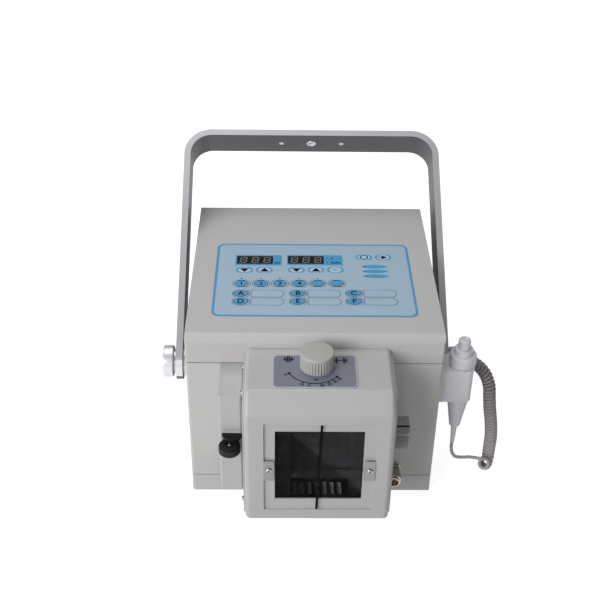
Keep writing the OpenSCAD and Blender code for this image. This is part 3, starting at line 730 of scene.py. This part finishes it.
class XRAY_OT_panel(Operator):
    """Membrane field, displays, keys and lamps of the control panel"""
    bl_idname = "xray.panel"
    bl_label = "Control panel"

    arrows = [(-71.4, -7.7, -1), (-50.6, -7.5, 1), (-17.3, -7.1, -1), (3, -6.9, 1)]
    choices = [(-73.6, -32.9), (-53.7, -32.7), (-34.3, -32.5), (-14.6, -32.3), (4.5, -32.1),
        (23.9, -31.9)]
    presets = [(-73.5, -51), (-16.2, -50.4), (40.3, -49.9), (-73.4, -65), (-16.2, -64.4),
        (40.3, -63.9)]
    fields = [(-56.95, 11.3, 48.9, 20), (2.15, 12, 58.7, 19.8)]
    windows = [(-60.85, 11.7, 37.9, 15.2), (-7.25, 12.4, 37.9, 15.2)]
    pieces = {"membrane": "panel_field", "blue": "panel_blue_print", "line": "panel_outlines",
        "pale_key": "panel_key_faces", "ink": "panel_marks", "filter": "display_filters",
        "segment": "display_digits", "lamp": "panel_indicator_lamps"}

    def execute(self, context):
        step = context.scene.xray_sizes.print_step / MM
        top = PANEL_HI.z
        cx, cy, w, d = plan(PANEL_LO, PANEL_HI)
        layers = {key: [] for key in self.pieces}

        def lay(key, outline, level):
            layers[key].append(slab(outline, top - 0.02, top + level * step))

        def tag(text, x, y, size, level, weight=0):
            layers["ink"].append(lettering(text, x, y, size, top, top + level * step,
                weight=weight))

        # the blue node shows as the border, and the pale field covers the rest
        lay("membrane", round_rect(cx, cy, w - 4.6, d - 4.8, 5.8), 1)
        for field in self.fields:
            lay("blue", box_outline(*field), 2)
        for x, y, *size in self.windows:
            lay("filter", round_rect(x, y, *size, 0.5, 2), 3)
            for i in (-1, 0, 1):
                self.digit(lay, x + 0.3 + 12.4 * i, y, 7.2, 11)
        tag("kV", -37.2, 6.2, 4.2, 3, 0.12)
        tag("s", 20.5, 16.2, 4, 3, 0.12)
        tag("mAs", 24, 7.2, 4.2, 3, 0.12)
        for y in (16.2, 7.2):
            lay("lamp", oval(15.4, y, 1.7, 2, 12), 4)
        for x, y, sign in self.arrows + [(23.3, -6.6, 0)]:
            self.lozenge(lay, x, y)
            if sign:
                lay("ink", [(x - 4.6, y - 3 * sign), (x + 4.6, y - 3 * sign),
                    (x, y + 3.9 * sign)], 4)
            else:
                lay("ink", box_outline(x, y, 5.5, 0.6), 4)
                tag("s", x, y + 1.9, 1.8, 4)
        for i, (x, y) in enumerate(self.choices):
            self.key(lay, x, y, (18.6, 14, 6.9, 8), 1.4, 0.7, (14.6, 11.6))
            lay("membrane", box_outline(x, y, 7, 14.4), 3)
            if i < 5:
                lay("lamp", oval(x - 0.2, y + 9, 1.7, 2.2, 12), 3)
            if i < 4:
                tag(str(i + 1), x, y, 5.6, 6, 0.16)
        for i, (x, y) in enumerate(self.presets):
            self.key(lay, x + 0.3, y, (18, 13.2, 5.4, 6), 1.2, 0.5, (15.8, 11.2), -0.3)
            lay("lamp", oval(x + 7, y + 4.4, 1.6, 1.8, 12), 5)
            tag("ABCDEF"[i], x, y, 6.8, 6, 0.16)
            self.label(lay, x + 10, x + 43.5, y)
        for x, y in ((54.5, 18), (74.8, 18.2)):
            self.lozenge(lay, x, y)
        lay("ink", oval(54.5, 18, 8.8, 8), 4)
        lay("pale_key", oval(54.5, 18, 6.4, 5.6), 5)
        lay("ink", [(73, 14.8), (78.4, 17.4), (78.4, 18.8), (73, 21.6)], 4)
        for a in (-30, 0, 30):
            t = radians(180 + a)
            lay("ink", bar_between((72.2 + 0.6 * cos(t), 18.2 + 0.6 * sin(t)),
                (72.2 + 2.6 * cos(t), 18.2 + 3 * sin(t)), 0.4), 4)
        for x, y in ((64, 0), (64.4, -9), (65, -18)):
            lay("blue", oval(x, y, 28, 6.8, 36, 1.3), 2)
            lay("lamp", oval(x - 9.6, y, 2, 2.2, 12), 3)
        for key, parts in layers.items():
            node = ("display_windows",) if key == "filter" else ()
            finished(joined(*parts), self.pieces[key], key, replaces=node)
        return {"FINISHED"}

    def key(self, lay, x, y, ring, line, turn, lens, shift=0):
        """A blue lens-shaped key inside a thin ring."""
        w, h, r, steps = ring
        lay("line", round_rect(x, y, w, h, r, steps), 2)
        lay("membrane", round_rect(x, y, w - line, h - line, r - turn, steps), 3)
        for tone, grow, level in (("ink", 0, 4), ("blue", 1.2, 5)):
            lay(tone, oval(x + shift, y, lens[0] - grow, lens[1] - grow, 32, 1.2), level)

    def lozenge(self, lay, x, y):
        lay("blue", round_rect(x, y, 17.4, 10.4, 4.6, 8), 2)
        lay("pale_key", oval(x, y, 13.4, 9, 32), 3)

    def label(self, lay, x0, x1, y):
        """A write-on box with a round right end."""
        for key, level, inset in (("line", 2, 0), ("membrane", 3, 0.6)):
            h = 6.4 - inset
            a, b = x0 + inset, x1 - inset
            end = [(b - 5.5 + 5.5 * cos(t), y + h * sin(t))
                for t in (radians(-90 + 15 * i) for i in range(13))]
            lay(key, [(a, y + h), (a, y - h)] + end, level)

    def digit(self, lay, x, y, w, h):
        """Seven unlit segments, leaning as on a real display."""
        half, lean, gap = 0.65, 0.12, 0.3
        for sx, sy in ((0, 1), (0, 0), (0, -1), (-1, 1), (1, 1), (-1, -1), (1, -1)):
            if sx:
                ya, yb = sorted((sy * gap, sy * (h / 2 - gap)))
                px = sx * (w / 2 - half)
                pts = [(px - half, ya + half), (px, ya), (px + half, ya + half),
                    (px + half, yb - half), (px, yb), (px - half, yb - half)]
            else:
                py, r = sy * (h / 2 - half), w / 2 - 2 * half - 0.1
                pts = [(-r, py), (-r + half, py - half), (r - half, py - half), (r, py),
                    (r - half, py + half), (-r + half, py + half)]
            lay("segment", [(x + a + lean * b, y + b) for a, b in pts], 4)


class XRAY_OT_dial(Operator):
    """Scale, numbers and shutter signs on the dial plate"""
    bl_idname = "xray.dial"
    bl_label = "Field dial"

    def execute(self, context):
        low = DIAL_HI.z - 0.02
        high = DIAL_HI.z + 0.08
        cx, cy, r = -1.5, -153.2, 26
        marks = []

        def mark(outline, rise=0):
            marks.append(slab(outline, low, high + rise))

        mark(arc_band(cx, cy, r, 207, 321, 1.05))
        for a in (205.5, 322.5):
            mark(oval(*polar(cx, cy, r, a), 2.8, 2.8, 14))
        for a, text in ((206, "0"), (246, "10"), (259, "15"), (283, "20"), (297, "25"),
                (309, "30"), (320, "35")):
            mark(bar_between(polar(cx, cy, r - 0.1, a), polar(cx, cy, r + 2, a), 0.9))
            marks.append(lettering(text, *polar(cx, cy, r + 3.9, a), 3.1, low, high,
                radians(a + 90), 0.14))
        mark(box_outline(-0.6, -173.2, 4.4, 0.9))
        mark(box_outline(-0.6, -175.1, 1.6, 0.9))
        # shut and open field signs: bars that meet, and bars that stand apart
        for x, y, gap in ((-25.6, -143.4, 1), (23.2, -144.9, 3.4)):
            mark(box_outline(x, y, 11, 1.3), 0.02)
            for s in (-1, 1):
                for k, h in ((0, 9), (2.1, 6)):
                    mark(box_outline(x + s * (gap + k), y, 1.5, h))
        finished(joined(*marks), "dial_marks", "dial_ink")
        rim = hoop(*plan(DIAL_LO, DIAL_HI), 5, 8, ((0.05, low - 0.7), (0.05, high + 0.05),
            (-0.9, high + 0.05), (-0.9, low - 0.1)))
        finished(rim, "dial_rim", "rim")
        return {"FINISHED"}


def fluted_knob(radius, height):
    """A knob with a narrow smooth crown and flutes down its skirt, standing on z = 0."""
    steps = 36 * 6
    bm = turned([(0, 0), (radius, 0), (radius, 0.5), (radius - 0.3, height - 2.7),
        (radius - 0.15, height - 2.3), (radius - 0.3, height - 0.9),
        (radius - 0.8, height - 0.25), (radius - 1.6, height), (0, height)], steps)
    flute(bm, steps, (0, 0, 0.5, 1, 1, 0.5), -1, height - 2.4, radius - 0.4)
    return bm


class XRAY_OT_knobs(Operator):
    """Fluted field knobs, thumb wheel, lever scale and front connector"""
    bl_idname = "xray.knobs"
    bl_label = "Knobs and connector"

    def execute(self, context):
        plate_side = node_box("collimator_side_plates")[1].x
        for node, key, axis, seat in (("field_knob_top", "knob", (0, 0, 1), DIAL_HI.z),
                ("field_knob_side", "side_knob", (1, 0, 0), plate_side)):
            lo, hi = node_box(node)
            base, size, way = (lo + hi) / 2, hi - lo, axis.index(1)
            base[way] = seat
            knob = fluted_knob((size.x if way else size.y) / 2 - 0.1, hi[way] - seat)
            finished(moved(knob, along(axis, base)), node + "_fluted", key,
                replaces=(node,), smooth=50)
        lo, hi = node_box("field_knob_side")
        y, z, r = (lo.y + hi.y) / 2, (lo.z + hi.z) / 2, (hi.z - lo.z) / 2
        # a dark pointer line, and a light line that paints a highlight along the knob
        for name, key, angle in (("side_knob_dark_line", "ink", 62),
                ("side_knob_painted_highlight", "rim", 34)):
            a = radians(angle)
            line = bevelled_box((lo.x + 8.5, -0.5, -0.4), (hi.x - 0.9, 0.5, 0.25), 0.1)
            moved(line, Matrix.Translation((0, y - r * cos(a), z + r * sin(a)))
                @ Matrix.Rotation(pi / 2 - a, 4, "X"))
            finished(line, name, key)
        self.thumb()
        self.connector()
        return {"FINISHED"}

    def thumb(self):
        lo, hi = node_box("thumb_knob")
        x, y, w, _ = plan(lo, hi)
        r = w / 2 + 0.7
        h = hi.z - lo.z + 3.6
        wheel = turned([(0, 0), (r - 0.6, 0), (r, 0.6), (r, h - 1.9), (r - 0.6, h - 1.3),
            (r - 1.9, h - 1.3), (r - 2.2, h), (3.1, h), (2.6, h - 0.6), (0, h - 0.6)], 96)
        flute(wheel, 96, (0, 0.4), -1, h + 1, r - 0.1)
        bmesh.ops.translate(wheel, vec=(x, y, hi.z - h), verts=wheel.verts[:])
        finished(wheel, "thumb_wheel", "black", replaces=("thumb_knob",))
        pin = turned([(0, 0), (1.7, 0), (1.9, 0.25), (1.7, 0.6), (0.9, 0.75), (0.8, 0.3),
            (0, 0.3)], 24, Matrix.Translation((x, y, hi.z - 0.62)))
        finished(pin, "thumb_wheel_screw", "nickel")
        softened("thumb_lever", "thumb_lever_moulded", "black", 0.5)
        # short marks over the lever, where its travel is read
        foot = 136.2
        block_lo = node_box("side_block")[0]
        marks = []
        for i in range(9):
            mx = block_lo.x + 3.2 + 1.85 * i
            tall = 3.6 if i % 4 == 0 else 2.4
            marks.append(bevelled_box((mx - 0.2, block_lo.y - 0.06, foot),
                (mx + 0.2, block_lo.y + 0.05, foot + tall)))
        finished(joined(*marks), "lever_scale", "line")

    def connector(self):
        lo, hi = node_box("front_connector")
        x, z = (lo.x + hi.x) / 2, (lo.z + hi.z) / 2
        r, n = (hi.x - lo.x) / 2, hi.y - lo.y
        body = turned([(0, 0), (r, 0), (r, 1.6), (r - 0.5, 2.1), (r - 2.3, 2.1), (r - 2.3, 3),
            (r - 0.9, 3), (r - 0.5, 3.4), (r - 0.5, 6.6), (r - 0.9, 7), (r - 2.2, 7.2),
            (r - 2.2, 8.4), (r - 0.8, 8.6), (r - 0.5, 9), (r - 0.5, n - 3.5),
            (r - 1, n - 3), (r - 2.1, n - 2.9), (r - 2.3, n - 0.4), (r - 2.7, n),
            (r - 3.6, n), (r - 3.7, n - 5.5), (0, n - 5.5)], 96)
        flute(body, 96, (0, 0.35), 3.3, 6.7, r - 0.6)
        flute(body, 96, (0, 0.35), 8.9, n - 3.4, r - 0.6)
        finished(moved(body, along((0, -1, 0), (x, hi.y, z))), "connector_shell", "nickel",
            replaces=("front_connector",))
        pins = [turned([(0, 0), (0.6, 0), (0.6, 3.4), (0.3, 3.9), (0, 3.9)], 12,
            along((0, -1, 0), (x + 2.2 * cos(a), lo.y + 5.6, z + 2.2 * sin(a))))
            for a in (0.5, 2.1, 3.7, 5.3)]
        finished(joined(*pins), "connector_pins", "nickel")


def screw_head(spot, axis, radius, spread=0.55):
    """A pan head, sunk a little into what it holds; its cross is made apart."""
    h = radius * spread
    head = turned([(0, -0.3), (radius, -0.3), (radius, h * 0.35), (radius * 0.92, h * 0.62),
        (radius * 0.7, h * 0.86), (radius * 0.4, h), (0, h)], 28)
    return moved(head, along(axis, spot))


# a dark cross laid on the head: painted shade in place of a cut recess
def screw_cross(spot, axis, radius, spread=0.55):
    h = radius * spread
    place = along(axis, spot) @ Matrix.Rotation(0.5, 4, "Z")
    parts = []
    for w, d in ((radius * 1.05, radius * 0.24), (radius * 0.24, radius * 1.05)):
        part = bevelled_box((-w / 2, -d / 2, h - 0.5), (w / 2, d / 2, h + 0.03), 0.04)
        parts.append(moved(part, place))
    return joined(*parts)


def screws(spots, name):
    """Heads and dark crosses, which paint the shade in the cross recesses; a spot is (place, axis,
    radius) and how high the head rises.
    """
    finished(joined(*[screw_head(*s) for s in spots]), name + "s", "nickel")
    finished(joined(*[screw_cross(*s) for s in spots]), name + "_cross_shade", "ink")


class XRAY_OT_window(Operator):
    """Clear plate, cross lines, clips and their screws on the collimator's front"""
    bl_idname = "xray.window"
    bl_label = "Collimator window"

    def execute(self, context):
        plate = softened("window_plate", "window_plate_polished", "clear", 0.45)
        # a hair of air keeps the plate's back off its seat
        air = 0.15
        for v in plate.data.vertices:
            if v.co.y > (PLATE_HI.y - 0.5) * MM:
                v.co.y -= air * MM
        clips = softened("window_clips", "window_clips_satin", "clip", 0.25, 1)
        taller, middle = 0.25, 113 * MM
        for v in clips.data.vertices:
            v.co.z += taller * (v.co.z - middle)
        front = PLATE_LO.y
        lines = []
        turn = Matrix.Translation((3.7, 0, 115.6)) @ Matrix.Rotation(0.028, 4, "Y")
        back = Matrix.Translation((-3.7, 0, -115.6))
        for lo, hi in (((2.55, front - 0.07, 61.5), (4.85, front + 0.05, 168.6)),
                ((-38, front - 0.09, 115), (45, front + 0.05, 116.2))):
            line = bevelled_box(lo, hi, 0.02)
            lines.append(moved(line, turn @ back))
        finished(joined(*lines), "cross_lines", "ink")
        r = context.scene.xray_sizes.screw / 2 / MM
        clip_lo, clip_hi = node_box("window_clips")
        screws([((clip_lo.x + 5, clip_lo.y, 113.4), (0, -1, 0), r, 0.6),
            ((clip_hi.x - 5, clip_lo.y, 112.6), (0, -1, 0), r, 0.6)], "clip_screw")
        # a few dust specks on the plate, which catch the light
        specks = []
        for i in range(46):
            x = 3.6 + 40 * noise.cell(Vector((i * 1.7, 3.1, 0.2))) * 0.98
            z = 116.4 + 41 * noise.cell(Vector((i * 2.3, 7.7, 0.9))) * 0.98
            size = 0.13 + 0.2 * abs(noise.cell(Vector((i, 1.3, 5.5))))
            speck = bmesh.new()
            bmesh.ops.create_icosphere(speck, subdivisions=1, radius=size,
                matrix=Matrix.LocRotScale((x, front - 0.03, z), None, (1.3, 0.3, 1)))
            specks.append(speck)
        finished(joined(*specks), "window_dust", "dust")
        return {"FINISHED"}


class XRAY_OT_seams(Operator):
    """Painted shade: dark strips in the two seams, and plates in the floor slots for the shaded
    table seen through them
    """
    bl_idname = "xray.seams"
    bl_label = "Seams and slot screen"

    def execute(self, context):
        lo, hi = node_box("lower_case")
        w, d = hi.x - lo.x, hi.y - lo.y
        # painted shade: a dark strip sunk into each seam's groove
        section = ((-0.35, 0), (-0.35, 0.7), (-1.2, 0.7), (-1.2, 0))
        rings = [hoop(0, 0, w, d, 3, 6, [(out, z - 0.75 + up) for out, up in section])
            for z in (lo.z, hi.z)]
        finished(joined(*rings), "seam_gaskets", "gasket")
        # plates in the floor slots: painted shade of the table seen through them
        floor = node_box("collimator_housing")[0].z
        shade_plates = [bevelled_box((4 + 7.35 * i - 1.9, -173.1, floor + 0.8),
            (4 + 7.35 * i + 1.9, -156.9, floor + 1.4)) for i in range(-3, 4)]
        finished(joined(*shade_plates), "slot_screens", "screen")
        return {"FINISHED"}


class XRAY_OT_fasteners(Operator):
    """Screws on the side plates and the rear panel"""
    bl_idname = "xray.fasteners"
    bl_label = "Fasteners"

    def execute(self, context):
        lo, hi = node_box("collimator_side_plates")
        r = context.scene.xray_sizes.screw / 2 / MM * 0.86
        spots = []
        for x, axis in ((lo.x, (-1, 0, 0)), (hi.x, (1, 0, 0))):
            rise = 0.85 if x < 0 else 0.3
            for y, z in ((-140, hi.z - 6), (-177, hi.z - 6), (-140, 61), (-190, 61)):
                spots.append(((x, y, z), axis, r, rise))
        screws(spots, "side_plate_screw")
        half, rear, _ = node_box("lower_case")[1]
        spots = [((x, rear, z), (0, 1, 0), r) for x in (-112, 112) for z in (42, 166)]
        for s in (-1, 1):
            spots += [((s * half, y, 168), (s, 0, 0), r) for y in (-112, 112)]
        screws(spots, "case_screw")
        return {"FINISHED"}


class XRAY_OT_handle(Operator):
    """Anodised bar with broken edges, hubs and turned clamp knobs"""
    bl_idname = "xray.handle"
    bl_label = "Handle and clamp knobs"

    def execute(self, context):
        edge = context.scene.xray_sizes.edge / MM
        bar = softened("handle_bar", "handle_bar_anodised", "bar", edge * 1.4,
            body="handle")
        # the darker copy of the bar's finish paints shade on the broad faces
        bar.data.materials.append(MATERIALS["bar_face"])
        bar.data.materials.append(MATERIALS["bright"])
        lean = radians(55)
        across = Vector((0, -cos(lean), sin(lean)))
        # faces sorted by their turn to the bar: broad faces take the painted shade; bevels, round
        # ends and hole walls the painted highlight
        for face in bar.data.polygons:
            flat = abs(face.normal.dot(across))
            in_hole = abs(face.center.x) < 0.04 and abs(face.normal.z) < 0.5 and flat < 0.9
            face.material_index = 0 if flat > 0.95 else 2 if flat > 0.2 or in_hole else 1
        # bright dimpled inserts in the mouths of the grip holes
        inserts = []
        for x, k in ((-34, 0.5), (0, 1), (34, 0.5)):
            profile = [(0, -3), (4.2, -3), (4.2, 0), (5.4, 0), (5.2, 0.35), (4.6, 0.35),
                (3.6, -0.7), (1.8, -1.6), (0, -1.8)]
            inserts.append(turned([(a * k, b * k) for a, b in profile], 40,
                along((0, -sin(lean), -cos(lean)), (x, 162.2, 269.6))))
        finished(joined(*inserts), "grip_inserts", "bright", "handle")
        softened("pivot_hubs", "pivot_hubs_turned", "bright", 0.5)
        for side, node in ((-1, "clamp_knob_left"), (1, "clamp_knob_right")):
            lo, hi = node_box(node)
            y, z = (lo.y + hi.y) / 2, (lo.z + hi.z) / 2
            r, n = (hi.z - lo.z) / 2, hi.x - lo.x
            inner = lo.x if side > 0 else hi.x
            disc = n - 11.5
            knob = turned([(5.3, 0), (12.5, 0), (12.5, disc), (r - 2.2, disc),
                (r - 0.5, disc + 0.7), (r, disc + 2), (r, n - 2), (r - 0.5, n - 0.7),
                (r - 2.2, n), (7.4, n), (7, n - 0.6), (0, n - 0.6), (0, n - 3), (5.3, n - 3),
                (5.3, 0)], 96, along((side, 0, 0), (inner, y, z)))
            finished(knob, node + "_turned", "bright", replaces=(node,))
        return {"FINISHED"}


class XRAY_OT_switch(Operator):
    """Hand switch, its button and its holder"""
    bl_idname = "xray.switch"
    bl_label = "Hand switch"

    def execute(self, context):
        softened("switch_holder", "switch_holder_moulded", "switch", 0.6)
        body = softened("switch_body", "switch_body_moulded", "switch", 0.5)
        ring_rise, collar_rise = 4, 2.5
        ring = node_box("switch_holder")[1].z + 5
        for v in body.data.vertices:
            if v.co.z > ring * MM:
                v.co.z += ring_rise * MM
        lo, hi = node_box("exposure_button")
        x, y, w, _ = plan(lo, hi)
        r = w / 2
        h = hi.z - lo.z
        button = turned([(0, 0), (r - 0.15, 0), (r - 0.1, h - 1.3), (r - 0.5, h - 0.4),
            (r - 1.3, h), (3.9, h), (3.6, h - 0.3), (2.6, h - 0.3), (2.3, h), (1.4, h),
            (1.1, h - 0.3), (0, h - 0.3)], 48, Matrix.Translation((x, y, lo.z)))
        finished(button, "exposure_button_moulded", "switch",
            replaces=("exposure_button",))
        lo, hi = node_box("switch_collar")
        r, h = (hi.x - lo.x) / 2, hi.z - lo.z + collar_rise
        collar = turned([(0, 0), (r, 0), (r, h - 1.4), (r - 0.4, h - 0.5), (r - 1.3, h), (6.4, h),
            (6, h - 0.5), (0, h - 0.5)], 64, Matrix.Translation((x, y, lo.z)))
        finished(collar, "switch_collar_moulded", "switch",
            replaces=("switch_collar",))
        return {"FINISHED"}


# ---- panel


GROUPS = {"xray_finishes": XrayFinishes, "xray_cord": XrayCordSizes, "xray_sizes": XraySizes,
    "xray_stage": XrayStage}
STEPS = (XRAY_OT_stage, XRAY_OT_cord, XRAY_OT_case, XRAY_OT_panel, XRAY_OT_dial, XRAY_OT_knobs,
    XRAY_OT_window, XRAY_OT_seams, XRAY_OT_fasteners, XRAY_OT_handle, XRAY_OT_switch)


class XRAY_PT_looks(Panel):
    """Runs the steps that dress the x-ray machine"""
    bl_idname = "XRAY_PT_looks"
    bl_label = "X-ray machine"
    bl_space_type = "VIEW_3D"
    bl_region_type = "UI"
    bl_category = "X-ray"

    def draw(self, context):
        for step in STEPS:
            self.layout.operator(step.bl_idname)


CLASSES = (*GROUPS.values(), *STEPS, XRAY_PT_looks)


def register():
    for cls in CLASSES:
        bpy.utils.register_class(cls)
    for name, group in GROUPS.items():
        setattr(bpy.types.Scene, name, bpy.props.PointerProperty(type=group))


def unregister():
    for name in GROUPS:
        delattr(bpy.types.Scene, name)
    for cls in reversed(CLASSES):
        bpy.utils.unregister_class(cls)


def main():
    register()
    MATERIALS.update(make_materials(bpy.context.scene.xray_finishes))
    for step in STEPS:
        getattr(bpy.ops.xray, step.bl_idname.removeprefix("xray."))()
    bpy.context.view_layer.update()


if __name__ == "__main__":
    main()
